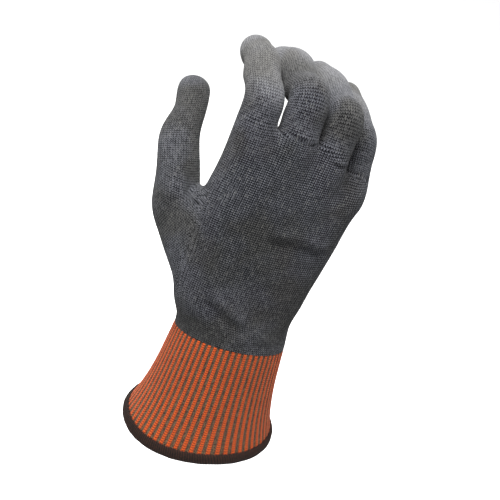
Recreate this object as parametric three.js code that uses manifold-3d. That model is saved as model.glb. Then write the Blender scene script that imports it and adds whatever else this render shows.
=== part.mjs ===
// A knitted cut resistant glove for a right hand, standing in the shape of the hand that wears it.
// Millimetres, +Z up. The origin is the centre of the cuff's opening and the hem's end face lies in
// the plane z = 0. -Y is the back of the hand, +Y the palm, -X the thumb's side.
import * as THREE from 'three';
import { ParametricGeometry } from 'three/addons/geometries/ParametricGeometry.js';
import { mergeVertices } from 'three/addons/utils/BufferGeometryUtils.js';
import Module from 'manifold-3d';

const wasm = await Module();
wasm.setup();

// ---------------------------------------------------------------- driving dimensions
const WALL = 1.4; // thickness of the knit
const GAP = 0.3; // room kept between two pieces that touch
const SLIT = 0.35; // half of the slit between two segments at their hinge
const FAR = 80; // reach of a cutting prism past everything it cuts

const CUFF = { hemTop: 5.0, rim: [42.6, 32.7], waist: [33.5, 25.2], wrist: [31, 23] };
const HEM = { outer: [44.2, 34.2], height: 4.7, thickness: 3.4 };
const ELASTIC = { count: 5, first: 12, pitch: 9, yarn: 0.8 };

const WRIST = { centre: [0.5, 1, 66], tilt: 17, lean: 2.5, bend: 25 };
const PALM = { tilt: 11, lean: 9, squareness: 2.4 };

// Flat sides of the round shapes.
const SIDES = {
  cuff: 36, palm: 32, thumb: 24, web: 20, finger: 18, hem: 40, hemRoll: 8, yarn: 32, yarnRoll: 4,
};

// Sections of the hand tube along the palm's own axis: left and right edge, middle, half thickness.
const PALM_SECTIONS = [
  { z: -12, left: -31, right: 30, y: 0, half: 23.0 },
  { z: 0, left: -31, right: 30, y: 0, half: 22.6 },
  { z: 20, left: -35, right: 30, y: 0, half: 21.6 },
  { z: 45, left: -40, right: 34.5, y: 0, half: 20.2 },
  { z: 70, left: -43.5, right: 39, y: 1, half: 17.2 },
  { z: 92, left: -43.7, right: 43.4, y: 3, half: 14.8 },
  { z: 114, left: -43.0, right: 46, y: 6, half: 12.6 },
];

// Each finger: the hand's knuckle in the palm's frame, sideways lean, length of the three phalanges,
// radius at root, middle joint, end joint and tip, flexion at rest and the largest flexion, in
// degrees. The knitted finger leaves the hand tube, and turns on it, at reach past the knuckle.
const FINGERS = {
  index: {
    knuckle: [-32, 0, 79.5], reach: 24, lean: 2,
    lengths: [45.5, 27, 24], radii: [11.1, 10.8, 10.2, 9.2],
    rest: [13, 34, 32], most: [65, 80, 55],
  },
  middle: {
    knuckle: [-9, -3, 90.5], reach: 17, lean: 2,
    lengths: [50.5, 31.5, 27], radii: [11.1, 10.8, 10.2, 9.2],
    rest: [15, 67, 24], most: [70, 90, 33],
  },
  ring: {
    knuckle: [14, -1, 87], reach: 15, lean: 2.5,
    lengths: [47.5, 29.5, 27], radii: [10.9, 10.5, 9.8, 9.0],
    rest: [13, 66, 15], most: [70, 90, 21],
  },
  little: {
    knuckle: [35.2, 4, 86.5], reach: 10, lean: 3,
    lengths: [37.5, 22, 24], radii: [9.5, 10, 9.4, 8.4],
    rest: [32, 34, 12], most: [75, 90, 32],
  },
};
const SEGMENTS = ['proximal', 'middle', 'distal'];

// The thumb, in the palm's frame: base joint, knuckle, middle joint and tip. flex and open are the
// turns of its knuckle and middle joint towards the palm and away from it. web is the fold of knit
// between thumb and index finger.
const THUMB = {
  base: [-25, 10, 16], knuckle: [-49.5, 25, 62], joint: [-54.8, 41, 93], tip: [-50.5, 56, 119],
  radii: [11.5, 12.6, 10.6, 9.3], flex: [40, 50], open: [10, 10],
  web: [
    { z: 36, x: -35, y: 9, hw: 8, ht: 11 },
    { z: 56, x: -40, y: 11, hw: 8, ht: 12 },
    { z: 72, x: -42, y: 14, hw: 6, ht: 8 },
  ],
};

const THUMB_PAD = bendDirection(THUMB.knuckle, THUMB.joint, THUMB.tip);
const THUMB_BEND = bendAngle(THUMB.knuckle, THUMB.joint, THUMB.tip);

const GREY = 0x5d5f63;
const FINGERTIP_GREY = 0x85858a;
const THUMB_GREY = 0x66686d;
const ORANGE = 0xc8632f;
const DARK_BROWN = 0x2c1c14;
const ELASTIC_WHITE = 0xd8d2c8;

// ---------------------------------------------------------------- small helpers
const radians = THREE.MathUtils.degToRad;
function vector(list) {
  return new THREE.Vector3(...list);
}

function knit(color, roughness = 0.95) {
  return new THREE.MeshStandardMaterial({ color, roughness, metalness: 0 });
}

// A closed geometry as a manifold solid, with the vertices of its seams merged.
function solid(geometry, matrix = new THREE.Matrix4()) {
  const bare = geometry.clone().applyMatrix4(matrix);
  bare.deleteAttribute('normal');
  bare.deleteAttribute('uv');
  const merged = mergeVertices(bare, 1e-4);
  const corners = merged.index.array;
  const kept = [];
  for (let i = 0; i < corners.length; i += 3) {
    const [a, b, c] = corners.slice(i, i + 3);
    if (a !== b && b !== c && c !== a) kept.push(a, b, c);
  }
  const mesh = new wasm.Mesh({
    numProp: 3,
    vertProperties: new Float32Array(merged.attributes.position.array),
    triVerts: new Uint32Array(kept),
  });
  return new wasm.Manifold(mesh);
}

function geometryOf(manifold) {
  const mesh = manifold.getMesh();
  const geometry = new THREE.BufferGeometry();
  geometry.setAttribute('position', new THREE.BufferAttribute(mesh.vertProperties, 3));
  geometry.setIndex(new THREE.BufferAttribute(mesh.triVerts, 1));
  geometry.computeVertexNormals();
  return geometry;
}

function named(name, manifold, material) {
  const mesh = new THREE.Mesh(geometryOf(manifold), material);
  mesh.name = name;
  return mesh;
}

const squared = (value, squareness) => Math.sign(value) * Math.abs(value) ** (2 / squareness);

// A closed body through oval sections {z, x, y, hw, ht}, flat at both ends. A squareness of 2 makes
// ellipses, and more makes their corners fuller.
function loft(sections, around, squareness = 2) {
  const pole = (section) => ({ ...section, hw: 0, ht: 0 });
  const rings = [pole(sections[0]), ...sections, pole(sections.at(-1))];
  const point = (u, v, target) => {
    const ring = rings[Math.round(v * (rings.length - 1))];
    const angle = 2 * Math.PI * u;
    const x = (ring.x ?? 0) + ring.hw * squared(Math.cos(angle), squareness);
    const y = (ring.y ?? 0) + ring.ht * squared(Math.sin(angle), squareness);
    target.set(x, y, ring.z);
  };
  return new ParametricGeometry(point, around, rings.length - 1);
}

// The same sections, smaller all round by a wall, running past both open ends.
function hollow(sections, wall, past) {
  const inner = sections.map((s) => ({ ...s, hw: s.hw - wall, ht: s.ht - wall }));
  const first = { ...inner[0], z: inner[0].z - past };
  const last = { ...inner.at(-1), z: inner.at(-1).z + past };
  return [first, ...inner.slice(1, -1), last];
}

// A prism that removes all that lies past a hinge line: its face runs from the hinge line back by
// one angle on the dorsal side (y < 0) and by another on the palmar side (y > 0). sense is +1 for
// the end away from the wrist and -1 for the end towards it. It spans x from left to right.
function mitre(sense, dorsalAngle, palmarAngle, left = -FAR, right = FAR) {
  const dorsal = SLIT + FAR * Math.tan(radians(dorsalAngle));
  const palmar = SLIT + FAR * Math.tan(radians(palmarAngle));
  const outline = new THREE.Shape([
    new THREE.Vector2(-FAR, -dorsal * sense),
    new THREE.Vector2(0, -SLIT * sense),
    new THREE.Vector2(FAR, -palmar * sense),
    new THREE.Vector2(FAR, FAR * sense),
    new THREE.Vector2(-FAR, FAR * sense),
  ]);
  const prism = new THREE.ExtrudeGeometry(outline, { depth: right - left, bevelEnabled: false });
  prism.translate(0, 0, left);
  const turn = new THREE.Matrix4().makeBasis(vector([0, 1, 0]), vector([0, 0, 1]), vector([1, 0, 0]));
  return prism.applyMatrix4(turn);
}

// The direction in which a chain of three points bends.
function bendDirection(first, middle, last) {
  const before = vector(middle).sub(vector(first)).normalize();
  return vector(last).sub(vector(middle)).normalize().sub(before);
}

// The angle, in degrees, by which the chain bends.
function bendAngle(first, middle, last) {
  const before = vector(middle).sub(vector(first));
  return THREE.MathUtils.radToDeg(vector(last).sub(vector(middle)).angleTo(before));
}

// A frame whose z runs from one point to the next and whose y leans towards the pad.
function frameAlong(from, to, pad) {
  const z = vector(to).sub(vector(from)).normalize();
  const y = pad.clone().addScaledVector(z, -pad.dot(z)).normalize();
  const x = new THREE.Vector3().crossVectors(y, z);
  return new THREE.Matrix4().makeBasis(x, y, z).setPosition(vector(from));
}

// ---------------------------------------------------------------- finger and thumb segments
// A hollow knitted segment along +Z from its own joint to the next; the last one ends in a dome.
function segment(length, [start, end], bases, tips) {
  const domed = !tips;
  const body = [
    { z: -start, hw: start, ht: start },
    { z: 0, hw: start, ht: start },
  ];
  if (domed) {
    const steps = 4;
    for (let i = 0; i <= steps; i += 1) {
      const angle = (i / steps) * radians(80);
      const radius = end * Math.cos(angle);
      body.push({ z: length - end + end * Math.sin(angle), hw: radius, ht: radius });
    }
  } else {
    body.push({ z: length, hw: end, ht: end }, { z: length + end, hw: end, ht: end });
  }
  const inner = body.map((s) => ({ z: s.z, hw: s.hw - WALL, ht: s.ht - WALL }));
  inner[0].z -= 1;
  inner.at(-1).z += domed ? -WALL : 1;
  let shell = solid(loft(body, SIDES.finger)).subtract(solid(loft(inner, SIDES.finger)));
  shell = shell.subtract(solid(mitre(-1, ...bases)));
  if (domed) return shell;
  const next = new THREE.Matrix4().makeTranslation(0, 0, length);
  return shell.subtract(solid(mitre(1, ...tips), next));
}

// Mitre angles of one finger joint: square on the dorsal side, half the largest flexion on the other.
const jointMitre = (most) => [0, most / 2 + 1];

function finger(name, spec) {
  const root = new THREE.Group();
  root.position.copy(vector(spec.knuckle));
  root.rotation.set(0, radians(spec.lean), 0);
  let parent = root;
  SEGMENTS.forEach((part, i) => {
    const link = new THREE.Group();
    link.position.z = i === 0 ? 0 : spec.lengths[i - 1];
    link.rotation.x = -radians(spec.rest[i]);
    const start = i === 0 ? spec.reach : 0;
    const tips = i < 2 ? jointMitre(spec.most[i + 1]) : null;
    const radii = [spec.radii[i], spec.radii[i + 1]];
    const shell = segment(spec.lengths[i] - start, radii, jointMitre(spec.most[i]), tips);
    const mesh = named(`${name}_${part}`, shell, knit(i === 2 ? FINGERTIP_GREY : GREY));
    mesh.position.z = start;
    link.add(mesh);
    parent.add(link);
    parent = link;
  });
  return root;
}

function thumbSegments() {
  const group = new THREE.Group();
  const stops = [THUMB.knuckle, THUMB.joint, THUMB.tip];
  const mitres = [[THUMB.open[0] / 2 + 1, THUMB.flex[0] / 2 + 1], jointMitre(THUMB_BEND + THUMB.flex[1])];
  ['thumb_proximal', 'thumb_distal'].forEach((name, i) => {
    const length = vector(stops[i + 1]).distanceTo(vector(stops[i]));
    const radii = [THUMB.radii[i + 1], THUMB.radii[i + 2]];
    const shell = segment(length, radii, mitres[i], i === 0 ? mitres[1] : null);
    const mesh = named(name, shell, knit(i === 0 ? THUMB_GREY : FINGERTIP_GREY));
    mesh.applyMatrix4(frameAlong(stops[i], stops[i + 1], THUMB_PAD));
    group.add(mesh);
  });
  return group;
}

// ---------------------------------------------------------------- hand
const palmSections = PALM_SECTIONS.map(({ z, left, right, y, half }) => {
  return { z, x: (left + right) / 2, y, hw: (right - left) / 2, ht: half };
});

function tiltAndLean({ tilt, lean }) {
  return new THREE.Matrix4().makeRotationFromEuler(new THREE.Euler(-radians(tilt), radians(lean), 0));
}

// The wrist's frame as seen from the palm's frame.
function wristInPalm() {
  return tiltAndLean(PALM).invert().multiply(tiltAndLean(WRIST));
}

function thumbCone(grow) {
  const length = vector(THUMB.knuckle).distanceTo(vector(THUMB.base));
  const [foot, top] = THUMB.radii;
  const sections = [
    { z: 0, hw: foot + grow, ht: foot + grow },
    { z: length * 0.55, y: 2, hw: foot + 1.5 + grow, ht: foot + 2 + grow },
    { z: length, hw: top + grow, ht: top + grow },
    { z: length + top, hw: top + grow, ht: top + grow },
  ];
  return solid(loft(sections, SIDES.thumb), frameAlong(THUMB.base, THUMB.knuckle, THUMB_PAD));
}

// Room for one finger's first segment, from its root outwards and a little into its neighbours'.
function knuckleCut(name) {
  const { knuckle, reach, lean, radii, rest, most } = FINGERS[name];
  const side = radii[0] + 4 * GAP;
  const left = name === 'index' ? -FAR : -side;
  const right = name === 'little' ? FAR : side;
  const finger = new THREE.Matrix4().makeRotationY(radians(lean)).setPosition(vector(knuckle));
  const y = reach * Math.sin(radians(rest[0]));
  const z = reach * Math.cos(radians(rest[0]));
  const place = finger.multiply(new THREE.Matrix4().makeTranslation(0, y, z));
  return solid(mitre(1, ...jointMitre(most[0]), left, right), place);
}

function handTube() {
  const inside = hollow(palmSections, WALL, 4);
  let tube = solid(loft(palmSections, SIDES.palm, PALM.squareness));
  tube = tube.subtract(solid(loft(inside, SIDES.palm, PALM.squareness)));
  tube = tube.subtract(thumbCone(-WALL));
  const bend = WRIST.bend / 2 + 1;
  tube = tube.subtract(solid(mitre(-1, bend, bend), wristInPalm()));
  for (const name of Object.keys(FINGERS)) tube = tube.subtract(knuckleCut(name));
  return named('hand_tube', tube, knit(GREY));
}

function thumbBase() {
  const outside = palmSections.map((s) => ({ ...s, hw: s.hw + GAP, ht: s.ht + GAP }));
  const web = solid(loft(THUMB.web, SIDES.web)).subtract(knuckleCut('index'));
  const inner = THUMB.web.map((s) => ({ ...s, hw: s.hw - WALL, ht: s.ht - WALL, z: s.z - WALL }));
  const webInside = solid(loft(inner, SIDES.web));
  let base = thumbCone(0).add(web).subtract(thumbCone(-WALL)).subtract(webInside);
  base = base.subtract(solid(loft(outside, SIDES.palm, PALM.squareness)));
  const place = frameAlong(THUMB.knuckle, THUMB.joint, THUMB_PAD);
  const cut = mitre(1, THUMB.open[0] / 2 + 1, THUMB.flex[0] / 2 + 1);
  return named('thumb_base', base.subtract(solid(cut, place)), knit(THUMB_GREY));
}

function hand() {
  const palm = new THREE.Group();
  palm.position.copy(vector(WRIST.centre));
  palm.rotation.set(-radians(PALM.tilt), radians(PALM.lean), 0);
  palm.add(handTube(), thumbBase(), thumbSegments());
  for (const [name, spec] of Object.entries(FINGERS)) palm.add(finger(name, spec));
  return palm;
}

// ---------------------------------------------------------------- cuff
function cuffSections() {
  const [x, y, z] = WRIST.centre;
  return [
    { z: CUFF.hemTop, hw: CUFF.rim[0], ht: CUFF.rim[1] },
    { z: z * 0.45, x: x * 0.3, y: y * 0.3, hw: CUFF.waist[0] + 2.5, ht: CUFF.waist[1] + 2 },
    { z: z * 0.75, x: x * 0.7, y: y * 0.7, hw: CUFF.waist[0], ht: CUFF.waist[1] },
    { z: z + 8, x, y, hw: CUFF.wrist[0], ht: CUFF.wrist[1] },
  ];
}

function cuffRib() {
  const sections = cuffSections();
  const bend = WRIST.bend / 2 + 1;
  const inside = solid(loft(hollow(sections, WALL, 2), SIDES.cuff));
  const rib = solid(loft(sections, SIDES.cuff)).subtract(inside);
  const wrist = tiltAndLean(WRIST).setPosition(vector(WRIST.centre));
  return named('cuff_rib', rib.subtract(solid(mitre(1, bend, bend), wrist)), knit(ORANGE));
}

// A ring of oval plan and a section of half width a and half height b, from a closed profile.
function ovalRing(plan, a, b, z, around, corners) {
  const point = (u, v, target) => {
    const turn = 2 * Math.PI * u;
    const corner = Math.PI / corners - 2 * Math.PI * v;
    const across = a * Math.cos(corner);
    const up = b * Math.sin(corner);
    target.set((plan[0] - across) * Math.cos(turn), (plan[1] - across) * Math.sin(turn), z + up);
  };
  return new ParametricGeometry(point, around, corners);
}

function hemBinding() {
  const corners = SIDES.hemRoll;
  const half = HEM.thickness / 2;
  const squash = Math.cos(Math.PI / corners);
  const plan = HEM.outer.map((size) => size - half);
  const roll = ovalRing(plan, half / squash, HEM.height / 2 / squash, HEM.height / 2, SIDES.hem, corners);
  return named('hem_binding', solid(roll), knit(DARK_BROWN));
}

// Half width and half thickness of the cuff's outside at a height.
function cuffAt(height) {
  const sections = cuffSections();
  const above = sections.findIndex((s) => s.z >= height);
  const low = sections[above - 1];
  const high = sections[above];
  const share = (height - low.z) / (high.z - low.z);
  const mix = (key) => THREE.MathUtils.lerp(low[key] ?? 0, high[key] ?? 0, share);
  return { x: mix('x'), y: mix('y'), hw: mix('hw'), ht: mix('ht') };
}

function elasticYarns() {
  const group = new THREE.Group();
  for (let i = 0; i < ELASTIC.count; i += 1) {
    const z = ELASTIC.first + i * ELASTIC.pitch;
    const { x, y, hw, ht } = cuffAt(z);
    const inset = WALL + 2 * GAP + ELASTIC.yarn / 2;
    const half = ELASTIC.yarn / 2;
    const ring = ovalRing([hw - inset, ht - inset], half, half, z, SIDES.yarn, SIDES.yarnRoll);
    const yarn = named(`elastic_yarn_${i + 1}`, solid(ring.translate(x, y, 0)), knit(ELASTIC_WHITE));
    group.add(yarn);
  }
  return group;
}

const glove = new THREE.Group();
glove.add(cuffRib(), hemBinding(), elasticYarns(), hand());

export default glove;
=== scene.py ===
"""Looks of the knitted cut resistant glove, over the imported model.

Lengths are in millimetres until a mesh is made. The palm's frame has its origin at the wrist:
x runs from the thumb's side to the little finger's, y from the back of the hand to the palm,
and z from the wrist to the fingers.
"""
import math

import bpy
import numpy as np
from mathutils import Matrix, Vector


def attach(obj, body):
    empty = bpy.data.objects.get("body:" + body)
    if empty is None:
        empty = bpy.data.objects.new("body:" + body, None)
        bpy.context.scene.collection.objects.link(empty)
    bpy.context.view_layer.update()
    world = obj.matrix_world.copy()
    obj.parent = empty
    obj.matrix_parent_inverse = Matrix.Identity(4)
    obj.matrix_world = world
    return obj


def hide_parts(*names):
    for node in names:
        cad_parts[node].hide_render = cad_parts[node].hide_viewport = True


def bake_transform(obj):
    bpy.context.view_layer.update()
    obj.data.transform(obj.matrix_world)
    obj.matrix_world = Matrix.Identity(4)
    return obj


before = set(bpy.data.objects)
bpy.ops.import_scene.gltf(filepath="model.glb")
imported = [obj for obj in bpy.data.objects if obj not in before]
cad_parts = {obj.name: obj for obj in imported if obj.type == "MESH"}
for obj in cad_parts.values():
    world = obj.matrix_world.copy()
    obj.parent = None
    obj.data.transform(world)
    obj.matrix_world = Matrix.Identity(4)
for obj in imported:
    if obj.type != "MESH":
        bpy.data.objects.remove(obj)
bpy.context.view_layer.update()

MM = 0.001

# ---- sizes
WRIST = dict(centre=(0.5, 1.0, 66.0), tilt=17.0, lean=2.5)
LINE = dict(lean=7.5, rise=0.8)  # of the line where the rib ends, about the wrist
PALM = dict(tilt=11.0, lean=9.0, squareness=2.4)
# height along the palm, left and right edge, middle, half thickness
SECTIONS = np.array([
    (-12, -31, 29, 0, 23.0),
    (0, -34.8, 29, 0, 22.6),
    (20, -41.5, 28.8, 0, 21.6),
    (45, -43.5, 32.8, 0, 20.2),
    (70, -46.2, 37.0, 1, 17.2),
    (82, -46.2, 39.2, 2, 16.0),
    (92, -44.2, 41.3, 3, 14.8),
    (114, -42.5, 45.2, 6, 12.6),
], float)
# Along the straight finger from its knuckle: reach, where its radii start; strip, where it starts
# to leave the palm's oval; forks, where it comes free on its two sides; split, where its pieces
# meet; mcp, pip and dip, where the knit turns at its joints. sag: its bow towards the palm.
FINGERS = dict(
    index=dict(knuckle=(-32, 0, 79.5), reach=24, lean=2, lengths=(45.5, 27, 24),
               radii=(11.1, 10.8, 10.2, 8.7), rest=(13, 34, 32), strip=11, forks=(40.4, 38.6),
               mcp=(13, 46), split=(47, 68.2), pip=(47.5, 68), dip=(68.4, 86)),
    middle=dict(knuckle=(-9, -3, 90.5), reach=17, lean=2, lengths=(50.5, 31.5, 27),
                radii=(11.1, 10.8, 10.2, 9.2), rest=(15, 67, 24), strip=4, forks=(28.3, 27.1),
                mcp=(5, 35), split=(36, 67), pip=(37.5, 64), dip=(70, 94), sag=2.0),
    ring=dict(knuckle=(14, -1, 87), reach=15, lean=2.5, lengths=(47.5, 29.5, 27),
              radii=(10.9, 10.5, 9.8, 9.0), rest=(13, 66, 15), strip=2, forks=(29.4, 22.1),
              mcp=(3, 33), split=(33.5, 63), pip=(34.5, 60.5), dip=(65.5, 88.5), sag=1.0),
    little=dict(knuckle=(35.2, 3.4, 86.5), reach=10, lean=3, lengths=(37.5, 22, 24),
                radii=(9.9, 9.9, 9.4, 8.4), rest=(32, 34, 12), strip=-3, forks=(16.5, 16.5),
                mcp=(-2, 24.5), split=(25, 49.3), pip=(25.5, 49), dip=(49.6, 69.4)),
)
THUMB = dict(points=((-25, 10, 16), (-49.5, 25, 62), (-54.8, 41, 93), (-50.5, 56, 119)),
             radii=(11.5, 12.6, 10.6, 8.8))
CUFF = dict(heights=(5, 29.7, 49.5, 74), half_width=(42.0, 36, 33.5, 31),
            half_depth=(32.0, 27.2, 25.2, 23))
HEM = dict(half_width=44.2, half_depth=34.2, height=6.8, thickness=3.3, threads=190)

COLUMNS = 36  # cage columns round the palm
SPLINE_LOSS = 1.047  # cage rings are drawn this much larger, because subdividing shrinks them
THINNER = 0.35  # how far the fingers' knit lies inside the solids' surface
LEVELS = 4  # of subdivision
LINE_OUT = 0.35  # how far the hand's knit stands off the rib where it starts
STITCH = 0.2  # relief of the knit's stitches
LEG_SLANT = 1.3  # slant of a V stitch's legs, in courses for each wale


# ---- frames
def turn_x(angle):
    c, s = math.cos(math.radians(angle)), math.sin(math.radians(angle))
    return np.array([[1, 0, 0], [0, c, -s], [0, s, c]])


def turn_y(angle):
    c, s = math.cos(math.radians(angle)), math.sin(math.radians(angle))
    return np.array([[c, 0, s], [0, 1, 0], [-s, 0, c]])


PALM_TURN = turn_x(-PALM["tilt"]) @ turn_y(PALM["lean"])
WRIST_CENTRE = np.array(WRIST["centre"])


def to_world(points):
    return points @ PALM_TURN.T + WRIST_CENTRE


def to_palm(points):
    return (np.asarray(points) - WRIST_CENTRE) @ PALM_TURN


def smooth(t):
    """0 below 0, 1 above 1, and a smooth step between."""
    t = np.clip(t, 0, 1)
    return t * t * (3 - 2 * t)


def mix(a, b, t):
    return a + (b - a) * t


def unit(vector):
    return vector / np.linalg.norm(vector)


# ---- cuff surface
CUFF_WIDTH = np.polyfit(CUFF["heights"], CUFF["half_width"], 3)
CUFF_DEPTH = np.polyfit(CUFF["heights"], CUFF["half_depth"], 3)
RIM_POWER = 0.93


def oval(turn, z):
    """Cosine and sine of a turn round the cuff, whose sections get squarer towards its rim."""
    power = mix(RIM_POWER, 1.0, np.clip(np.asarray(z) / 45, 0, 1))
    c, s = np.cos(turn), np.sin(turn)
    return np.sign(c) * np.abs(c) ** power, np.sign(s) * np.abs(s) ** power


def cuff_surface(turn, z, out=0.0):
    """Points on the cuff; turn 0 is the thumb's side and grows towards the back of the hand."""
    drift = np.clip(np.asarray(z) / WRIST_CENTRE[2], 0, 1)
    width = np.polyval(CUFF_WIDTH, z) + out
    depth = np.polyval(CUFF_DEPTH, z) + out
    c, s = oval(turn, z)
    x, y = WRIST_CENTRE[0] * drift - width * c, WRIST_CENTRE[1] * drift - depth * s
    return np.stack([x, y, np.broadcast_to(z, x.shape)], -1)


def wrist_line(turn):
    """Height on the cuff at which its rib changes to the hand's plain knit."""
    normal = (turn_x(-WRIST["tilt"]) @ turn_y(LINE["lean"]))[:, 2]
    z = np.full(np.shape(turn), WRIST_CENTRE[2])
    for _ in range(4):
        p = cuff_surface(turn, z)
        z = WRIST_CENTRE[2] + LINE["rise"] - ((p - WRIST_CENTRE)[..., :2] @ normal[:2]) / normal[2]
    return z


# ---- palm surface
def palm_section(z, share, out):
    """A point of the palm's section at height z, a share of the way round from the thumb's side."""
    left, right, middle, half = (np.interp(z, SECTIONS[:, 0], SECTIONS[:, i]) for i in range(1, 5))
    angle = np.linspace(math.pi, 3 * math.pi, 721)
    power = 2 / PALM["squareness"]
    c, s = np.cos(angle), np.sin(angle)
    width, depth = (right - left) / 2 + out, half + out
    x = (left + right) / 2 + width * np.sign(c) * np.abs(c) ** power
    y = middle + depth * np.sign(s) * np.abs(s) ** power
    length = np.r_[0, np.cumsum(np.hypot(np.diff(x), np.diff(y)))]
    at = (share % 1) * length[-1]
    return np.array([np.interp(at, length, x), np.interp(at, length, y), z])


# ---- fingers
NAMES = list(FINGERS)
ROUND = [210, 240, 270, 300, 330, 0, 30, 60, 90, 120, 150, 180]  # one ring of a finger
RING_STEP = 4.6  # from ring to ring
# rings of a fingertip, by height and radius, and its top, in radii of the tip
DOME = ((0.42, 0.96), (0.78, 0.76), (1.0, 0.42))
DOME_TOP = 1.07


def finger_frame(name):
    spec = FINGERS[name]
    return turn_y(spec["lean"]) @ turn_x(-spec["rest"][0]), np.array(spec["knuckle"], float)


def finger_radius(name, s):
    spec = FINGERS[name]
    first, second, third = spec["lengths"]
    stops = (spec["reach"], first, first + second, first + second + third)
    return np.interp(s, stops, spec["radii"]) - THINNER


def straight_point(name, angle, s, radius=None):
    """A point on the straightened finger, in the palm's frame."""
    turn, origin = finger_frame(name)
    r = (finger_radius(name, s) if radius is None else radius) * SPLINE_LOSS
    a = math.radians(angle)
    return turn @ np.array([r * math.cos(a), r * math.sin(a), s]) + origin


def fork_at(name, angle):
    radial, ulnar = FINGERS[name]["forks"]
    return mix(radial, ulnar, (math.cos(math.radians(angle)) + 1) / 2)


def ring_columns(i):
    """The palm's columns of finger i: five on the back, then five on the palm side."""
    back = [4 * i + j for j in range(5)]
    front = [30 - 4 * i + j for j in range(5)]
    return back, front


# ---- cage
class Cage:
    """Control points of the knit skin and the faces between them."""

    def __init__(self):
        self.points, self.heights, self.faces, self.pieces, self.knit = [], [], [], [], []

    def add(self, point, height):
        self.points.append(np.asarray(point, float))
        self.heights.append(height)
        return len(self.points) - 1

    def face(self, piece, corners, across, heights=None):
        """Adds a face, with the column and the height of each corner in the knit."""
        heights = heights or [self.heights[v] for v in corners]
        self.faces.append(corners)
        self.pieces.append(piece)
        self.knit.append(list(zip(across, heights)))


def owners(k):
    """Fingers that column k leads to, with the angle at which it meets each of them."""
    found = []
    for i, name in enumerate(NAMES):
        back, front = ring_columns(i)
        if k in back:
            found.append((name, ROUND[back.index(k)]))
        if k in front:
            found.append((name, ROUND[6 + front.index(k)]))
    if k == 35:
        found.append(("index", 180))
    if k == 17:
        found.append(("little", 0))
    return found


# the cage's rows: shares of the way up the palm and of the way on to the forks, and how far the
# sections of the latter have turned from the palm's oval to the fingers' circles
PALM_SHARES = (0.0, 0.07, 0.18, 0.285, 0.43, 0.58, 0.73, 0.875, 0.94)
STRIP_SHARES = (0.0, 0.28, 0.55, 0.78, 1.0)
STRIP_ROUND = (0.0, 0.3, 0.55, 0.8, 1.0)
CUFF_SHARE = 0.2  # over this share the section turns from the cuff's to the palm's
THUMB_ROWS = (3, 7)  # the hole that the thumb grows from
THUMB_COLUMNS = (32, 36)
SKIN_OUT = 0.1  # of the palm's knit, over its solid
FORK_LIFT = 1.5  # of a fork's middle over the fingers' sides there


def strip_point(k, share, roundness):
    """A point of column k between the finger strip's foot and the forks."""
    parts = []
    for name, angle in owners(k):
        s = mix(FINGERS[name]["strip"], fork_at(name, angle), share)
        at = straight_point(name, angle, s)
        flat = palm_section(at[2], (k + 1) / COLUMNS, SKIN_OUT)
        parts.append(mix(flat, at, roundness))
    return np.mean(parts, axis=0)


def palm_cage(cage):
    """Rows of points from the rib's line to the forks."""
    turns = (np.arange(COLUMNS) + 1) / COLUMNS * 2 * math.pi
    line = to_palm(cuff_surface(turns, wrist_line(turns), LINE_OUT))
    tops = [strip_point(k, 0.0, 0.0) for k in range(COLUMNS)]
    rows = []
    for share in PALM_SHARES:
        row = []
        for k in range(COLUMNS):
            z = mix(line[k][2], tops[k][2], share)
            flat = palm_section(z, (k + 1) / COLUMNS, SKIN_OUT)
            tube = line[k] + (0, 0, z - line[k][2])
            row.append(cage.add(mix(tube, flat, smooth(share / CUFF_SHARE)), z))
        rows.append(row)
    for share, roundness in zip(STRIP_SHARES, STRIP_ROUND):
        points = [strip_point(k, share, roundness) for k in range(COLUMNS)]
        rows.append([cage.add(p, p[2]) for p in points])
    return rows


def strip_piece(k):
    """The finger whose strip holds the face between columns k and k + 1."""
    if k >= 34:
        return "index_root"
    if k in (16, 17):
        return "little_root"
    i = k // 4 if k < 16 else 3 - (k - 18) // 4
    return NAMES[i] + "_root"


def palm_faces(cage, rows):
    strips = len(PALM_SHARES)
    for r in range(len(rows) - 1):
        for k in range(COLUMNS):
            n = (k + 1) % COLUMNS
            if r in range(*THUMB_ROWS) and k in range(*THUMB_COLUMNS):
                continue
            piece = "hand" if r < strips else strip_piece(k)
            corners = (rows[r][k], rows[r][n], rows[r + 1][n], rows[r + 1][k])
            cage.face(piece, corners, (k, k + 1, k + 1, k))


def finger_rows(name):
    """Heights of the rings past the fork, and the radius of each."""
    spec = FINGERS[name]
    first, second = spec["split"]
    end = spec["radii"][3]
    dome = sum(spec["lengths"]) - end
    fork = max(spec["forks"])
    stops = [fork + 2.5] if first - fork > 5 else []
    stops += list(np.linspace(first, second, max(2, round((second - first) / RING_STEP)) + 1))
    stops += list(np.linspace(second, dome, max(1, round((dome - second) / RING_STEP)) + 1))[1:]
    rows = [(s, finger_radius(name, s)) for s in stops]
    rows += [(dome + end * up, end * size) for up, size in DOME]
    return rows, dome + end * DOME_TOP


def finger_piece(name, s):
    """The piece below the ring at height s of a finger."""
    first, second = (split + 0.01 for split in FINGERS[name]["split"])
    part = "root" if s <= first else "middle" if s <= second else "tip"
    return f"{name}_{part}"


def finger_cage(cage, name, foot):
    """The tube of one finger, from its ring of twelve points at the forks to its closed tip."""
    rings, cap = finger_rows(name)
    shift = np.mean([cage.heights[v] for v in foot]) - np.mean(FINGERS[name]["forks"])
    previous = foot
    for s, radius in rings:
        piece = finger_piece(name, s)
        ring = [cage.add(straight_point(name, a, s, radius), s + shift) for a in ROUND]
        for j in range(12):
            n = (j + 1) % 12
            corners = (previous[j], previous[n], ring[n], ring[j])
            cage.face(piece, corners, (j, j + 1, j + 1, j))
        previous = ring
    turn, origin = finger_frame(name)
    centre = cage.add(turn @ np.array([0, 0, cap]) + origin, cap + shift)
    for j in range(0, 12, 2):
        corners = (previous[j], previous[j + 1], previous[(j + 2) % 12], centre)
        cage.face(f"{name}_tip", corners, (j, j + 1, j + 2, j + 1))


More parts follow.
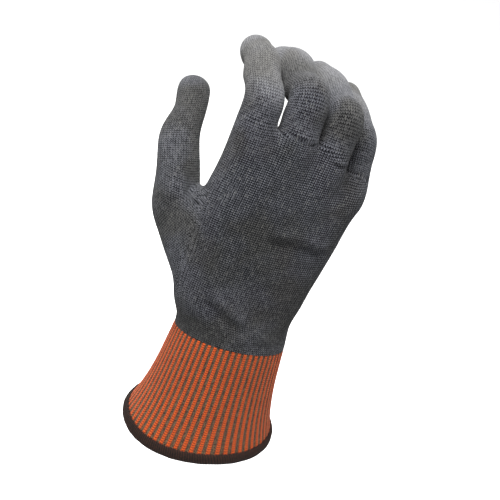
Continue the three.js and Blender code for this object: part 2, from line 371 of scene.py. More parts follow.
def fork_points(cage):
    """The middle point of each fork between two fingers."""
    points = []
    for i in range(3):
        a = straight_point(NAMES[i], 0, FINGERS[NAMES[i]]["forks"][1])
        b = straight_point(NAMES[i + 1], 180, FINGERS[NAMES[i + 1]]["forks"][0])
        middle = (a + b) / 2
        middle[2] += FORK_LIFT
        points.append(cage.add(middle, middle[2]))
    return points


# ---- thumb
THUMB_POINTS = np.array(THUMB["points"], float)
THUMB_STEPS = np.linalg.norm(np.diff(THUMB_POINTS, axis=0), axis=1)
THUMB_STOPS = np.r_[0, np.cumsum(THUMB_STEPS)]
# where each ring crosses the side towards the hand and the outer side, from the thumb's foot
THUMB_RINGS = ((61, 36), (64.5, 45), (68, 54), (71.5, 63), (75.5, 71), (80, 79), (86, 85.5),
               (91, 91), (96, 96), (101, 101), (105.5, 105.5))
THUMB_ROUNDING = 5  # its bends are rounded over this length to each side
THUMB_SIDES = 16
THUMB_ROUND = [math.radians(22.5 * j) for j in range(-2, THUMB_SIDES - 2)]
THUMB_DOME = ((0.05, 0.99), (0.5, 0.93), (0.82, 0.72), (1.02, 0.38))
THUMB_TOP = 1.08
THUMB_LOSS = 1.03  # as SPLINE_LOSS, for the thumb's rings
# where the outer side is fuller or flatter: by how much, where and over what length
THUMB_BULGES = ((2.3, 47, 12), (0.9, 85, 6), (-2.9, 101, 6))
THUMB_SPLIT = 5  # the ring at which the thumb's two pieces meet
THUMB_WALES = 0.75  # width of a thumb column, in columns of the palm
TUBE_START = 66  # where along the thumb its own knit starts


def thumb_centre(s):
    """A point on the thumb's axis and the axis' direction, with its bends rounded."""
    window = np.linspace(-THUMB_ROUNDING, THUMB_ROUNDING, 11)
    points = np.array([[np.interp(s + w, THUMB_STOPS, THUMB_POINTS[:, i]) for i in range(3)]
                       for w in window])
    if s > THUMB_STOPS[-1] - THUMB_ROUNDING:
        direction = unit(THUMB_POINTS[-1] - THUMB_POINTS[-2])
        return THUMB_POINTS[-1] + direction * (s - THUMB_STOPS[-1]), direction
    return points.mean(axis=0), unit(points[-1] - points[0])


def thumb_point(angle, s, radius=None):
    """A point of the thumb; angle 0 is the outer side, and a quarter turn on is its back."""
    centre, along = thumb_centre(s)
    inward = np.array([-2, 1, centre[2]]) - centre
    inward = unit(inward - along * (inward @ along))
    dorsal = np.cross(along, inward)
    if dorsal[1] > 0:
        dorsal = -dorsal
    if radius is None:
        radius = np.interp(s, THUMB_STOPS, THUMB["radii"]) - THINNER
    bulge = sum(size * math.exp(-((s - middle) / reach) ** 2) for size, middle, reach in THUMB_BULGES)
    r = radius * THUMB_LOSS + max(math.cos(angle), 0) * bulge
    return centre - inward * r * math.cos(angle) + dorsal * r * math.sin(angle)


def thumb_rings():
    """Every ring's heights on the hand's side and the outer side, and its radius; the tip's height."""
    rings = [(inner, outer, None) for inner, outer in THUMB_RINGS]
    end = THUMB["radii"][3]
    dome = THUMB_STOPS[-1] - end
    rings += [(dome + end * up, dome + end * up, end * size) for up, size in THUMB_DOME]
    return rings, dome + end * THUMB_TOP


def thumb_hole(rows):
    """The edge of the hole in the palm's cage that the thumb grows from."""
    low, high = THUMB_ROWS
    first, last = THUMB_COLUMNS
    hole = [rows[low][k % COLUMNS] for k in range(first, last + 1)]
    hole += [rows[r][last % COLUMNS] for r in range(low + 1, high)]
    hole += [rows[high][k % COLUMNS] for k in range(last, first - 1, -1)]
    hole += [rows[r][first] for r in range(high - 1, low, -1)]
    return hole


def slanted_ring(inner, outer):
    """Height of every point of a ring that slants from the hand's side to the outer side."""
    return [mix(inner, outer, (1 + math.cos(angle)) / 2) for angle in THUMB_ROUND]


def thumb_knit_heights(cage, loops):
    """Height of every point of the thumb's loops in its knit, measured along the surface."""
    places = np.array([[cage.points[v] for v in loop] for loop in loops])
    steps = np.linalg.norm(np.diff(places, axis=0), axis=2)
    heights = np.vstack([np.zeros(THUMB_SIDES), np.cumsum(steps, axis=0)])
    return heights - heights[THUMB_SPLIT + 1]


def thumb_tube(cage, loops, levels, heights):
    for number, (low, high) in enumerate(zip(loops[:-1], loops[1:])):
        tube = "thumb_root" if number <= THUMB_SPLIT else "thumb_tip"
        below, above = heights[number], heights[number + 1]
        for j in range(THUMB_SIDES):
            n = (j + 1) % THUMB_SIDES
            ball = min(levels[number][j], levels[number + 1][j]) < TUBE_START
            around = tuple(THUMB_WALES * a for a in (j, j + 1, j + 1, j))
            own = [below[j], below[n], above[n], above[j]]
            cage.face("thumb_ball" if ball else tube, (low[j], low[n], high[n], high[j]), around, own)


def thumb_cap(cage, rim, last, tip):
    centre = cage.add(thumb_centre(tip)[0], tip)
    for j in range(0, THUMB_SIDES, 2):
        n = (j + 2) % THUMB_SIDES
        around = tuple(THUMB_WALES * a for a in (j, j + 1, j + 2, j + 1))
        own = [last[j], last[j + 1], last[n], last[j] + 4]
        cage.face("thumb_tip", (rim[j], rim[j + 1], rim[n], centre), around, own)


def thumb_cage(cage, rows):
    """The thumb, from a hole in the palm's cage to its closed tip."""
    rings, tip = thumb_rings()
    loops = [thumb_hole(rows)]
    levels = [slanted_ring(THUMB_RINGS[0][0], 0)]
    for inner, outer, radius in rings:
        levels.append(slanted_ring(inner, outer))
        loops.append([cage.add(thumb_point(angle, s, radius), s)
                      for angle, s in zip(THUMB_ROUND, levels[-1])])
    heights = thumb_knit_heights(cage, loops)
    thumb_tube(cage, loops, levels, heights)
    thumb_cap(cage, loops[-1], heights[-1], tip)


# ---- whole skin
WALES_PER_COLUMN = 4
WALE = 1.4  # width of a column of stitches
COURSE = 1.15  # height of a row of stitches


def build_cage():
    cage = Cage()
    rows = palm_cage(cage)
    palm_faces(cage, rows)
    forks = fork_points(cage)
    top = rows[-1]
    for i, name in enumerate(NAMES):
        back, front = ring_columns(i)
        ulnar = forks[i] if i < 3 else top[17]
        radial = forks[i - 1] if i > 0 else top[35]
        foot = [top[k] for k in back] + [ulnar] + [top[k] for k in front] + [radial]
        finger_cage(cage, name, foot)
    thumb_cage(cage, rows)
    return cage


def link_object(name, data):
    obj = bpy.data.objects.new(name, data)
    bpy.context.scene.collection.objects.link(obj)
    return obj


def read(elements, attribute, width, kind=float):
    """An attribute of every element of a mesh, as an array."""
    values = np.empty(len(elements) * width, kind)
    elements.foreach_get(attribute, values)
    return values


def subdivide(cage):
    """The cage as a fine mesh: points, faces, piece of each face and knit coordinates per corner."""
    mesh = bpy.data.meshes.new("cage")
    mesh.from_pydata([tuple(p) for p in cage.points], [], cage.faces)
    pieces = sorted(set(cage.pieces))
    for polygon, piece in zip(mesh.polygons, cage.pieces):
        polygon.material_index = pieces.index(piece)
    for _ in pieces:
        mesh.materials.append(None)
    layer = mesh.uv_layers.new(name="knit")
    for polygon, knit in zip(mesh.polygons, cage.knit):
        for loop, (column, height) in zip(polygon.loop_indices, knit):
            layer.data[loop].uv = (column * WALES_PER_COLUMN, height / COURSE)
    obj = link_object("cage", mesh)
    modifier = obj.modifiers.new("fine", "SUBSURF")
    modifier.levels = modifier.render_levels = LEVELS
    modifier.use_limit_surface = True
    fine = bpy.data.meshes.new_from_object(obj.evaluated_get(bpy.context.evaluated_depsgraph_get()))
    points = read(fine.vertices, "co", 3).reshape(-1, 3)
    faces = read(fine.loops, "vertex_index", 1, int).reshape(-1, 4)
    index = read(fine.polygons, "material_index", 1, int)
    uv = read(fine.uv_layers[0].data, "uv", 2).reshape(-1, 4, 2)
    bpy.data.objects.remove(obj)
    bpy.data.meshes.remove(mesh)
    bpy.data.meshes.remove(fine)
    return points, faces, index, uv, pieces


def normals_of(points, faces):
    a, b, c, d = (points[faces[:, i]] for i in range(4))
    face = np.cross(c - a, d - b)
    normal = np.zeros_like(points)
    for i in range(4):
        np.add.at(normal, faces[:, i], face)
    return normal / np.maximum(np.linalg.norm(normal, axis=1, keepdims=True), 1e-9)


# folds on the back of the hand: the two ends (x, z), depth, half width and height of its ridge
FOLDS = (
    ((-9, 65.5), (10, 66.0), 1.1, 2.8, 1.2),
    ((10, 66.0), (25, 63.6), 1.3, 2.6, 1.1),
    ((-31, 25.5), (-7, 14.5), 1.5, 2.9, 0.9),
    ((-20, 48), (0, 37), 0.9, 5.0, 0.5),
    ((3, 8), (12, 7), 1.2, 3.2, 0.4),
    ((-12, 120), (3, 118.4), 0.5, 1.3, 0.3),
    ((12, 112.6), (22, 111.2), 0.8, 1.1, 0.4),
    ((-41, 52), (-35, 26), 0.8, 3.2, 0.3),
)
# gentle waves of the knit: how fast each runs along x, y and z, and its height
RIPPLES = ((0.11, 0.03, 0.16, 0.2), (0.05, 0.17, -0.09, 0.25), (-0.21, 0.11, 0.13, 0.13),
           (0.31, -0.12, 0.27, 0.07), (0.17, 0.36, -0.22, 0.06))


def fold_height(points):
    """How far folds raise the back of the hand, at points of the palm's frame."""
    raised = np.zeros(len(points))
    flat = points[:, [0, 2]]
    back = smooth((2 - points[:, 1]) / 8)
    for start, end, depth, width, ridge in FOLDS:
        start, end = np.array(start, float), np.array(end, float)
        along = end - start
        length = np.linalg.norm(along)
        along /= length
        offset = flat - start
        t = offset @ along
        side = offset @ (-along[1], along[0])
        reach = width * 1.5
        fade = smooth((t + reach) / (width * 3)) * smooth((length - t + reach) / (width * 3))
        valley = np.exp(-(side / width) ** 2)
        crest = np.exp(-((side - 2 * width) / (width * 1.1)) ** 2)
        raised += back * fade * (ridge * crest - depth * valley)
    return raised


def above_line(points):
    """Height of the palm's points over the line where the cuff's rib ends."""
    turns = np.linspace(0, 2 * math.pi, 36)
    line = to_palm(cuff_surface(turns, wrist_line(turns), LINE_OUT))
    sides = np.c_[np.ones(len(line)), line[:, :2]]
    plane = np.linalg.lstsq(sides, line[:, 2], rcond=None)[0]
    return points[:, 2] - plane[0] - points[:, :2] @ plane[1:]


def ripple_height(points):
    """How far gentle waves raise the knit."""
    return sum(height * np.sin(points @ (x, y, z) + 9 * x) for x, y, z, height in RIPPLES)


def stitch_relief(u, v):
    """Relief of plain knit: rows of V stitches with a groove between one wale and the next."""
    offset = np.abs(u % 1 - 0.5)
    wave = np.cos(2 * math.pi * (v - LEG_SLANT * offset))
    return (1 - smooth((offset - 0.3) / 0.2)) * (0.72 + 0.28 * wave) - 0.6


def rotate_x(points, centre_z, angle):
    """Flexes points of the finger's frame about the hinge at that height by an angle each."""
    a = np.radians(-angle)
    x, y, z = points[:, 0], points[:, 1], points[:, 2] - centre_z
    return np.stack([x, y * np.cos(a) - z * np.sin(a), y * np.sin(a) + z * np.cos(a) + centre_z], -1)


def zone(s, limits):
    """0 below the first limit, 1 above the second, and smooth between them."""
    return smooth((s - limits[0]) / (limits[1] - limits[0]))


def finger_coordinates(name, points):
    turn, origin = finger_frame(name)
    return (points - origin) @ turn


def bend_finger(name, points, own):
    """Bends the straight finger's own points to their rest shape."""
    spec = FINGERS[name]
    turn, origin = finger_frame(name)
    local = finger_coordinates(name, points[own])
    s = local[:, 2].copy()
    first, second, _ = spec["lengths"]
    local = rotate_x(local, first + second, spec["rest"][2] * zone(s, spec["dip"]))
    local[:, 1] += spec.get("sag", 0) * np.exp(-((s - first - 13) / 9) ** 2)
    local = rotate_x(local, first, spec["rest"][1] * zone(s, spec["pip"]))
    points[own] = local @ turn.T + origin


# ---- meshes
def new_object(name, points, faces, uv=None):
    """A mesh object, in metres, from arrays of points, four-sided faces and knit coordinates."""
    mesh = bpy.data.meshes.new(name)
    mesh.vertices.add(len(points))
    mesh.vertices.foreach_set("co", (np.asarray(points) * MM).ravel())
    mesh.loops.add(faces.size)
    mesh.loops.foreach_set("vertex_index", faces.ravel())
    mesh.polygons.add(len(faces))
    mesh.polygons.foreach_set("loop_start", np.arange(len(faces)) * 4)
    mesh.polygons.foreach_set("use_smooth", np.ones(len(faces), bool))
    if uv is not None:
        layer = mesh.uv_layers.new(name="knit")
        layer.data.foreach_set("uv", uv.ravel())
    mesh.update(calc_edges=True)
    mesh.validate()
    return link_object(name, mesh)


# ---- materials
class Nodes:
    """Short calls to build a material's node tree."""

    def __init__(self, name):
        self.material = bpy.data.materials.new(name)
        self.material.use_nodes = True
        self.tree = self.material.node_tree
        self.tree.nodes.clear()

    def add(self, kind, **settings):
        node = self.tree.nodes.new(kind)
        for key, value in settings.items():
            setattr(node, key, value)
        return node

    def link(self, source, target):
        self.tree.links.new(source, target)

    def put(self, value, socket):
        if isinstance(value, bpy.types.NodeSocket):
            self.link(value, socket)
        else:
            socket.default_value = value

    def math(self, operation, a, b=0.0, c=0.0, clamp=False):
        node = self.add("ShaderNodeMath", operation=operation, use_clamp=clamp)
        for value, socket in zip((a, b, c), node.inputs):
            self.put(value, socket)
        return node.outputs[0]

    def remap(self, value, low, high, to_low=0.0, to_high=1.0):
        node = self.add("ShaderNodeMapRange", interpolation_type="SMOOTHSTEP")
        for v, socket in zip((value, low, high, to_low, to_high), node.inputs):
            self.put(v, socket)
        return node.outputs[0]

    def mix(self, factor, a, b):
        node = self.add("ShaderNodeMix", data_type="RGBA")
        self.put(factor, node.inputs["Factor"])
        self.put(a, node.inputs[6])
        self.put(b, node.inputs[7])
        return node.outputs[2]

    def noise(self, vector, scale, detail, roughness=0.5):
        node = self.add("ShaderNodeTexNoise")
        self.put(vector, node.inputs["Vector"])
        node.inputs["Scale"].default_value = scale
        node.inputs["Detail"].default_value = detail
        node.inputs["Roughness"].default_value = roughness
        return node.outputs["Fac"]

    def finish(self, color, height, distance, sheen, sheen_tint=(1, 1, 1, 1), specular=0.2):
        """A rough cloth with this colour, and this height as bump."""
        bump = self.add("ShaderNodeBump")
        bump.inputs["Distance"].default_value = distance
        self.put(height, bump.inputs["Height"])
        shader = self.add("ShaderNodeBsdfPrincipled")
        self.put(color, shader.inputs["Base Color"])
        shader.inputs["Roughness"].default_value = 0.9
        shader.inputs["Sheen Weight"].default_value = sheen
        shader.inputs["Sheen Roughness"].default_value = 0.5
        shader.inputs["Sheen Tint"].default_value = sheen_tint
        shader.inputs["Specular IOR Level"].default_value = specular
        self.link(bump.outputs[0], shader.inputs["Normal"])
        return self.surface(shader)

    def surface(self, shader):
        output = self.add("ShaderNodeOutputMaterial")
        self.link(shader.outputs[0], output.inputs["Surface"])
        return self.material


def linear(red, green, blue):
    """A screen colour, from 0 to 255, as the linear colour that shaders take."""
    values = (v / 255 for v in (red, green, blue))
    return tuple(v / 12.92 if v <= 0.04045 else ((v + 0.055) / 1.055) ** 2.4 for v in values) + (1,)


def knit_coordinates(n):
    """The knit's coordinates, and the wale and course that they are made of."""
    uv = n.add("ShaderNodeUVMap", uv_map="knit").outputs[0]
    parts = n.add("ShaderNodeSeparateXYZ")
    n.link(uv, parts.inputs[0])
    return uv, parts.outputs[0], parts.outputs[1]


def stitch_leg(n, u, v):
    """Distance from the middle of the wale, and place along the slanted legs of V stitches."""
    offset = n.math("ABSOLUTE", n.math("SUBTRACT", n.math("FRACT", u), 0.5))
    return offset, n.math("MULTIPLY_ADD", offset, -LEG_SLANT, v)


def stitch_height(n, offset, leg):
    """The stitches' relief, as in the mesh but deeper."""
    wave = n.math("COSINE", n.math("MULTIPLY", leg, 2 * math.pi))
    groove = n.remap(offset, 0.3, 0.5, 1.0, 0.25)
    return n.math("MULTIPLY", groove, n.math("MULTIPLY_ADD", wave, 0.42, 0.58))


def stitch_tone(n, u, leg):
    """A random tone for every leg of every stitch."""
    cell = n.add("ShaderNodeCombineXYZ")
    n.put(n.math("FLOOR", n.math("MULTIPLY", u, 2.0)), cell.inputs[0])
    n.put(n.math("FLOOR", leg), cell.inputs[1])
    random = n.add("ShaderNodeTexWhiteNoise", noise_dimensions="2D")
    n.link(cell.outputs[0], random.inputs["Vector"])
    return random.outputs["Value"]


def melange_knit(name):
    """Plain knit of a mottled yarn: every stitch has its own tone, and some fibres are pale."""
    n = Nodes(name)
    uv, u, v = knit_coordinates(n)
    offset, leg = stitch_leg(n, u, v)
    height = stitch_height(n, offset, leg)
    place = n.add("ShaderNodeTexCoord").outputs["Object"]
    broad = n.noise(place, 26, 2)
    patch = n.noise(place, 110, 3, 0.6)
    fibre = n.noise(uv, 2.2, 3, 0.75)
    random = stitch_tone(n, u, leg)
    # This attribute is painted light and shade: where it is high the tone and the bright colour are
    # raised as painted light, and where it is low the painted shade in the grooves is deeper.
    painted_light_and_shade = n.add("ShaderNodeAttribute", attribute_name="painted_light_and_shade").outputs["Fac"]
    tone = n.math("ADD", n.remap(fibre, 0.3, 0.7, -0.14, 0.14), n.remap(patch, 0.3, 0.7, -0.03, 0.03))
    tone = n.math("ADD", tone, n.math("MULTIPLY_ADD", random, 0.28, 0.06))
    painted_groove_shade = n.remap(painted_light_and_shade, -0.45, 0.1, 0.95, 0.55)
    # Painted shade: the tone follows the stitches' relief, darker in their grooves.
    tone = n.math("MULTIPLY_ADD", n.math("SUBTRACT", height, 0.47), painted_groove_shade, tone)
    tone = n.math("ADD", tone, n.math("MULTIPLY", painted_light_and_shade, 0.35), clamp=True)
    bright = n.mix(painted_light_and_shade, linear(90, 91, 96), linear(108, 108, 110))
    cool = n.mix(tone, linear(2, 3, 6), bright)
    warm = n.mix(tone, linear(4, 4, 3), n.mix(0.75, bright, linear(64, 62, 54)))
    color = n.mix(n.remap(broad, 0.42, 0.6, 0.0, 0.75), cool, warm)
    color = n.mix(n.remap(random, 0.9, 1.0, 0.0, 0.14), color, linear(92, 91, 84))
    relief = n.math("ADD", height, n.math("MULTIPLY", fibre, 0.6))
    return n.finish(color, relief, 0.0003, sheen=0.05, sheen_tint=(0.95, 0.96, 1, 1), specular=0.06)


# ---- assembly of the skin
# the two bodies that each part of a finger turns between, and its solid
FINGER_PARTS = dict(root=("hand", "{}_proximal_link", "{}_proximal"),
                    middle=("{}_proximal_link", "{}_middle_link", "{}_middle"),
                    tip=("{}_middle_link", "{}_distal_link", "{}_distal"))
THUMB_PARTS = dict(ball=("hand", "{}_proximal_link", "{}_base"),
                   root=("hand", "{}_proximal_link", "{}_proximal"),
                   tip=("{}_proximal_link", "{}_distal_link", "{}_distal"))


def place_piece(obj, piece):
    """Bakes one piece of the skin's placement into its mesh and hides the solid that it covers."""
    if piece == "hand":
        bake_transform(obj)
        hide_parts("hand_tube")
        return
    name, part = piece.rsplit("_", 1)
    thumb = name == "thumb"
    a, b, node = (text.format(name) for text in (THUMB_PARTS if thumb else FINGER_PARTS)[part])
    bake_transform(obj)
    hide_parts(node)


def points_of(faces, index, pieces, name, parts):
    """Numbers of the points in some parts of one finger."""
    return np.unique(faces[np.isin(index, [pieces.index(f"{name}_{part}") for part in parts])])


def paleness(rest, faces, index, pieces):
    """Painted light and shade: the knit is painted paler over the finger ends and the thumb, which face
    the light, and darker over the back of the hand, which lies in shade.
    """
    x, y, z = rest.T
    # Painted shade: darker over the back of the hand.
    painted_light_and_shade = -0.42 * smooth((z - 10) / 60) * smooth((130 - z) / 25) * smooth((x + 48) / 25)
    painted_light_and_shade *= smooth((8 - y) / 14)
    # Painted light: paler towards the finger ends, whose tops face the light from above.
    for name in NAMES:
        own = points_of(faces, index, pieces, name, ("middle", "tip"))
        reach = np.linalg.norm(finger_coordinates(name, rest[own]), axis=1)
        painted_light_and_shade[own] = smooth((reach - FINGERS[name]["lengths"][0]) / 26)
    # Painted light: paler towards the thumb's end.
    thumb = points_of(faces, index, pieces, "thumb", ("ball", "root", "tip"))
    painted_light_and_shade[thumb] = 0.06 + 0.3 * smooth((rest[thumb, 2] - 50) / 65)
    return painted_light_and_shade


BALL_LEVELS = np.arange(6.0, 67.0, 2.0)  # heights of the ball's level sections
BALL_ANGLES = np.radians(np.arange(-40, 241, 7.0))  # round each of them
BALL_SEAM = 0.3  # the angle that the ball's wales are counted from


def angle_round_thumb(points):
    """Angle of each point round the thumb's axis, in the level section through the point."""
    axis = np.stack([np.interp(points[:, 2], THUMB_POINTS[:, 2], THUMB_POINTS[:, i]) for i in (0, 1)], -1)
    away = (points[:, :2] - axis) * (-1, 1)
    angle = np.arctan2(away[:, 0], -away[:, 1])
    return np.where(angle < -1, angle + 2 * math.pi, angle)


def section_lengths(points, angle):
    """Length along every level section of the ball, from its seam to each angle."""
    lengths = np.zeros((len(BALL_LEVELS), len(BALL_ANGLES)))
    for row, level in enumerate(BALL_LEVELS):
        near = np.abs(points[:, 2] - level) < 0.5
        if near.sum() < 8:
            lengths[row] = BALL_ANGLES * 20
            continue
        order = np.argsort(angle[near])
        spots = [np.interp(BALL_ANGLES, angle[near][order], points[near, i][order]) for i in (0, 1)]
        lengths[row, 1:] = np.cumsum(np.hypot(*(np.diff(spot) for spot in spots)))
        lengths[row] -= np.interp(BALL_SEAM, BALL_ANGLES, lengths[row])
    lengths[1:-1] = (lengths[:-2] + 2 * lengths[1:-1] + lengths[2:]) / 4
    return lengths


def grid_place(values, stops):
    """The stop below each value, and how far the value is on the way to the next one."""
    place = np.clip((values - stops[0]) / (stops[1] - stops[0]), 0, len(stops) - 1.001)
    low = place.astype(int)
    return low, place - low


def ball_knit(points, faces):
    """Knit coordinates for the ball of the thumb: wales counted along its level sections."""
    angle = angle_round_thumb(points)
    own = np.unique(faces)
    lengths = section_lengths(points[own], angle[own])
    i, up = grid_place(points[:, 2], BALL_LEVELS)
    j, on = grid_place(angle, BALL_ANGLES)
    along = ((1 - up) * ((1 - on) * lengths[i, j] + on * lengths[i, j + 1])
             + up * ((1 - on) * lengths[i + 1, j] + on * lengths[i + 1, j + 1]))
    return np.stack([along / WALE, points[:, 2] / COURSE], -1)[faces]


def bent_skin():
    """The subdivided skin, with points for straight and for resting fingers, and its normals."""
    straight, faces, index, uv, pieces = subdivide(build_cage())
    rest = straight.copy()
    for name in NAMES:
        bend_finger(name, rest, points_of(faces, index, pieces, name, ("middle", "tip")))
    normals = normals_of(rest, faces)
    if np.sum(normals[:, 1] * (rest[:, 1] < 0)) > 0:
        faces = faces[:, ::-1].copy()
        uv = uv[:, ::-1].copy()
        normals = -normals
    return straight, rest, faces, index, uv, pieces, normals


def build_skin():
    """The hand's knit: one surface with folds, waves and stitches, cut at the joints."""
    straight, rest, faces, index, uv, pieces, normals = bent_skin()
    ball = index == pieces.index("thumb_ball")
    uv[ball] = ball_knit(rest, faces[ball])
    folds = fold_height(rest)
    knit = np.zeros((len(rest), 2))
    knit[faces.ravel()] = uv.reshape(-1, 2)
    lift = (folds + ripple_height(rest)) * smooth(above_line(rest) / 6)
    lift += STITCH * stitch_relief(knit[:, 0], knit[:, 1])
    rest += normals * lift[:, None]
    # Painted shade in the folds' valleys and painted light on their ridges are added to the knit's
    # painted light and shade.
    painted_light_and_shade = paleness(rest, faces, index, pieces) + 0.16 * np.minimum(folds, 0.8)
    world = to_world(rest)
    for number, piece in enumerate(pieces):
        own = index == number
        used, compact = np.unique(faces[own], return_inverse=True)
        name = "hand_skin" if piece == "hand" else piece + "_skin"
        obj = new_object(name, world[used], compact.reshape(-1, 4), uv[own])
        tone = obj.data.attributes.new("painted_light_and_shade", "FLOAT", "POINT")
        tone.data.foreach_set("value", painted_light_and_shade[used].astype(np.float32))
        obj.data.materials.append(MATERIALS["grey"])
        place_piece(obj, piece)


# ---- cuff
WALES = 56
RIB_STEPS = 8  # mesh columns in a wale
RIB_COURSE = 1.45
# its lower end, its rows outside and the step between rows inside, how far it runs on under
# the hand's knit and how deep it lies there, and the wall
CUFF_SHELL = dict(low=3.4, rows=144, row_step=3, tuck=1.6, recess=0.9, wall=1.4)


def rib_relief(u, v):
    """Height of the rib: raised V stitches between sunken ones."""
    across = (u % 1) - 0.5
    raised = smooth((0.33 - np.abs(across)) / 0.12)
    leg = np.cos(2 * math.pi * (v - LEG_SLANT * np.abs(across)))
    spine = 1 - 0.35 * np.exp(-(across / 0.07) ** 2)
    purl = np.cos(2 * math.pi * v)
    return raised * (0.32 * spine + 0.1 * leg) + (1 - raised) * (-0.28 + 0.08 * purl)


def rib_material():
    """Raised orange wales and sunken grey-brown ones, with fibres standing out of both."""
    n = Nodes("rib_knit")
    _, u, v = knit_coordinates(n)
    offset, slanted = stitch_leg(n, u, v)
    leg = n.math("COSINE", n.math("MULTIPLY", slanted, 2 * math.pi))
    edge = n.math("MULTIPLY_ADD", leg, 0.05, offset)
    stripe = n.remap(edge, 0.25, 0.29, 1.0, 0.0)
    place = n.add("ShaderNodeTexCoord").outputs["Object"]
    fibre = n.noise(place, 1500, 2, 0.6)
    broad = n.noise(place, 60, 2)
    # Painted shade and light on the raised wales: the orange is darker in the dips between stitch legs
    # and lighter on their tops.
    orange = n.mix(n.remap(leg, -1.0, 1.0, 0.0, 1.0), linear(100, 30, 7), linear(158, 62, 14))
    orange = n.mix(n.remap(fibre, 0.45, 0.75, 0.0, 0.35), orange, linear(172, 84, 30))
    ground = n.mix(n.remap(fibre, 0.35, 0.65, 0.0, 1.0), linear(30, 23, 17), linear(86, 69, 50))
    color = n.mix(stripe, ground, orange)
    color = n.mix(n.remap(broad, 0.35, 0.65, 0.0, 0.12), color, linear(76, 34, 14))
    relief = n.math("ADD", n.math("MULTIPLY", leg, 0.3), n.math("MULTIPLY", fibre, 0.5))
    return n.finish(color, relief, 0.00025, sheen=0.04, sheen_tint=(1, 0.8, 0.6, 1))


def cuff_grid(z, columns):
    """Faces of the shell between rows of points at those heights, and the knit coordinates."""
    rows = len(z)
    i, j = np.meshgrid(np.arange(rows), np.arange(columns), indexing="ij")
    up, side = (i + 1) % rows, (j + 1) % columns
    faces = np.stack([i * columns + side, up * columns + side, up * columns + j, i * columns + j], -1)
    v = z / RIB_COURSE
    across = (j[..., None] + np.array([1, 1, 0, 0])) / RIB_STEPS
    along = np.stack([v[i, side], v[up, side], v[up, j], v[i, j]], -1)
    return faces.reshape(-1, 4), np.stack([across, along], -1).reshape(-1, 4, 2)


def build_cuff():
    """The rib as one closed shell: up the outside, and down the inside with its own relief."""
    columns = WALES * RIB_STEPS
    turn = np.arange(columns) / columns * 2 * math.pi
    low, top = CUFF_SHELL["low"], wrist_line(turn) + CUFF_SHELL["tuck"]
    rise = np.linspace(0, 1, CUFF_SHELL["rows"] + 1)[:, None]
    z_out = low + (top - low) * rise
    z_in = low + (top - low) * rise[::-CUFF_SHELL["row_step"]]
    u = np.arange(columns) / RIB_STEPS
    near = smooth((top - CUFF_SHELL["tuck"] - z_out + 0.3) / 0.9)
    relief = rib_relief(u, z_out / RIB_COURSE) * near - CUFF_SHELL["recess"] * (1 - near)
    outside = cuff_surface(np.broadcast_to(turn, z_out.shape), z_out, relief)
    inner_relief = -CUFF_SHELL["wall"] - 0.5 * rib_relief(u + 0.5, z_in / RIB_COURSE)
    inside = cuff_surface(np.broadcast_to(turn, z_in.shape), z_in, inner_relief)
    faces, uv = cuff_grid(np.concatenate([z_out, z_in]), columns)
    points = np.concatenate([outside, inside]).reshape(-1, 3)
    obj = new_object("cuff_rib_skin", points, faces, uv)
    obj.data.materials.append(MATERIALS["rib"])
    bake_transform(obj)
    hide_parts("cuff_rib")


def thread_material(name, dark, light, scale):
    """Thread wound round an edge or a yarn, with painted shade darker between its turns."""
    n = Nodes(name)
    _, u, v = knit_coordinates(n)
    # Painted shade: the strand wave is low in the grooves between the thread's turns.
    strand = n.math("COSINE", n.math("MULTIPLY", n.math("ADD", u, n.math("MULTIPLY", v, 3.0)), scale))
    place = n.add("ShaderNodeTexCoord").outputs["Object"]
    fibre = n.noise(place, 1800, 2, 0.6)
    tone = n.math("ADD", n.math("MULTIPLY_ADD", strand, 0.25, 0.2), n.remap(fibre, 0.35, 0.7, -0.2, 0.4),
                  clamp=True)
    relief = n.math("ADD", n.math("MULTIPLY", strand, 0.4), fibre)
    return n.finish(n.mix(tone, dark, light), relief, 0.0002, sheen=0.0)


def ring_turns(around, across):
    """The turn round the cuff and the one round a ring's own section, for all of its points."""
    return ((np.arange(around) / around * 2 * math.pi)[:, None],
            (np.arange(across) / across * 2 * math.pi)[None])


def new_ring(name, points, material, steps=1):
    """A closed ring of wound thread, which takes so many steps for each turn of the thread."""
    around, across = points.shape[:2]
    i, j = np.meshgrid(np.arange(around), np.arange(across), indexing="ij")
    ni, nj = (i + 1) % around, (j + 1) % across
    faces = np.stack([i * across + nj, ni * across + nj, ni * across + j, i * across + j], -1)
    u = (i[..., None] + np.array([0, 1, 1, 0])) / steps
    v = (j[..., None] + np.array([1, 1, 0, 0])) / across
    uv = np.stack([u, v], -1).reshape(-1, 4, 2)
    obj = new_object(name, points.reshape(-1, 3), faces.reshape(-1, 4), uv)
    obj.data.materials.append(MATERIALS[material])
    return obj


THREAD = dict(steps=6, slant=0.35, bulge=0.4)  # of the hem: mesh steps, slant and thickness
FLARE = -0.156  # slope of the hem's wall, as the rib's end flares


def build_hem():
    """The overlocked edge: threads wound side by side round the cuff's end."""
    turn, corner = ring_turns(HEM["threads"] * THREAD["steps"], 28)
    out, up = np.cos(corner), np.sin(corner)
    wind = np.abs(np.cos(HEM["threads"] / 2 * turn + THREAD["slant"] * math.pi * up))
    uneven = 0.06 * np.sin(17 * turn + 2) + 0.05 * np.sin(31 * turn)
    bulge = THREAD["bulge"] * wind + uneven
    half, tall = HEM["thickness"] / 2, HEM["height"] / 2
    z = np.maximum(tall + (tall - 0.35 + bulge * 0.6) * up, 0.02)
    wall = (half - 0.45 + bulge) * out - half + FLARE * (z - 3)
    c, s = oval(turn, 0)
    points = np.stack([-(HEM["half_width"] + wall) * c, -(HEM["half_depth"] + wall) * s, z], -1)
    obj = new_ring("hem_overlock", points, "hem", THREAD["steps"])
    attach(obj, "cuff")
    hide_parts("hem_binding")


ELASTIC = dict(count=5, first=12, step=9, radius=0.4, depth=2.4)


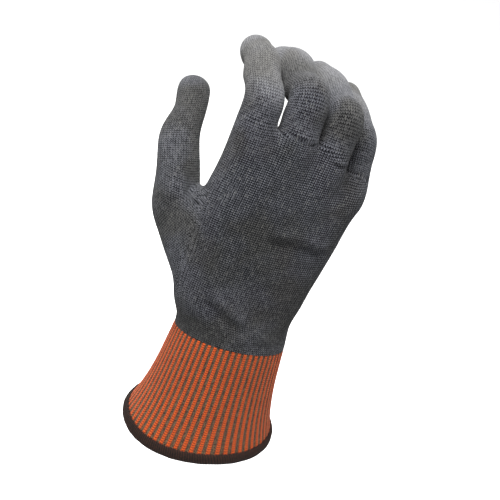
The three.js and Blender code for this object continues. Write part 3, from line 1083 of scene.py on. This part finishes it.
def build_elastics():
    """Covered rubber yarns inside the cuff, each with its cover wound round it."""
    turn, corner = ring_turns(480, 8)
    size = ELASTIC["radius"] * (1 + 0.12 * np.cos(corner * 2 + turn * 120))
    for number in range(ELASTIC["count"]):
        z = np.full_like(turn, ELASTIC["first"] + ELASTIC["step"] * number)
        inside = cuff_surface(turn, z, -ELASTIC["depth"])
        out = inside - cuff_surface(turn, z, -ELASTIC["depth"] - 1)
        points = inside + out * (size * np.cos(corner))[..., None]
        points[..., 2] += size * np.sin(corner)
        obj = new_ring(f"elastic_{number + 1}", points, "elastic")
        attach(obj, "cuff")
        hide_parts(f"elastic_yarn_{number + 1}")


# ---- camera, light and floor
LIT = Vector((0, 0.02, 0.1))  # the point that the lights face
VIEW = dict(azimuth=-26, elevation=35, roll=20, target=(7.9, 28, 105), distance=834, lens=110)


def add_camera():
    a, e, r = (math.radians(VIEW[key]) for key in ("azimuth", "elevation", "roll"))
    back = Vector((math.sin(a) * math.cos(e), -math.cos(a) * math.cos(e), math.sin(e)))
    right = Vector((math.cos(a), math.sin(a), 0))
    up = back.cross(right)
    right, up = (math.cos(r) * right + math.sin(r) * up, -math.sin(r) * right + math.cos(r) * up)
    data = bpy.data.cameras.new("camera")
    data.lens = VIEW["lens"]
    camera = link_object("camera", data)
    place = (Vector(VIEW["target"]) + back * VIEW["distance"]) * MM
    turn = Matrix((right, up, back)).transposed().to_4x4()
    camera.matrix_world = Matrix.Translation(place) @ turn
    bpy.context.scene.camera = camera


def add_light(name, place, size, power, color=(1, 1, 1)):
    data = bpy.data.lights.new(name, "AREA")
    data.shape = "DISK"
    data.size = size
    data.energy = power
    data.color = color
    place = Vector(place)
    turn = (place - LIT).to_track_quat("Z", "Y").to_matrix().to_4x4()
    link_object(name, data).matrix_world = Matrix.Translation(place) @ turn


def add_floor():
    size, height = 3.0, -0.6
    mesh = bpy.data.meshes.new("floor")
    corners = [(x * size, y * size, height) for x, y in ((-1, -1), (1, -1), (1, 1), (-1, 1))]
    mesh.from_pydata(corners, [], [(0, 1, 2, 3)])
    floor = link_object("floor", mesh)
    n = Nodes("floor_white")
    shader = n.add("ShaderNodeBsdfDiffuse")
    shader.inputs["Color"].default_value = (0.97, 0.97, 0.97, 1)
    mesh.materials.append(n.surface(shader))


def set_world():
    world = bpy.data.worlds.new("studio")
    world.use_nodes = True
    background = world.node_tree.nodes["Background"]
    background.inputs["Color"].default_value = (1, 1, 1, 1)
    background.inputs["Strength"].default_value = 0.8
    bpy.context.scene.world = world
    bpy.context.scene.view_settings.view_transform = "Standard"


MATERIALS = dict(
    grey=melange_knit("grey_knit"),
    rib=rib_material(),
    hem=thread_material("hem_thread", linear(3, 1, 0), linear(46, 22, 11), 2 * math.pi),
    elastic=thread_material("elastic_cover", linear(150, 144, 132), linear(226, 220, 208), 6.0),
)
add_camera()
set_world()
add_floor()
add_light("key", (-0.28, -0.1, 1.05), 0.6, 38)
add_light("fill_left", (-1.0, -0.5, 0.3), 1.0, 2.5, (0.85, 0.92, 1.0))
add_light("fill_right", (0.9, -0.6, 0.5), 1.0, 6)
add_light("fill_back", (0.2, 1.3, 0.3), 1.0, 22)
build_skin()
build_cuff()
build_hem()
build_elastics()
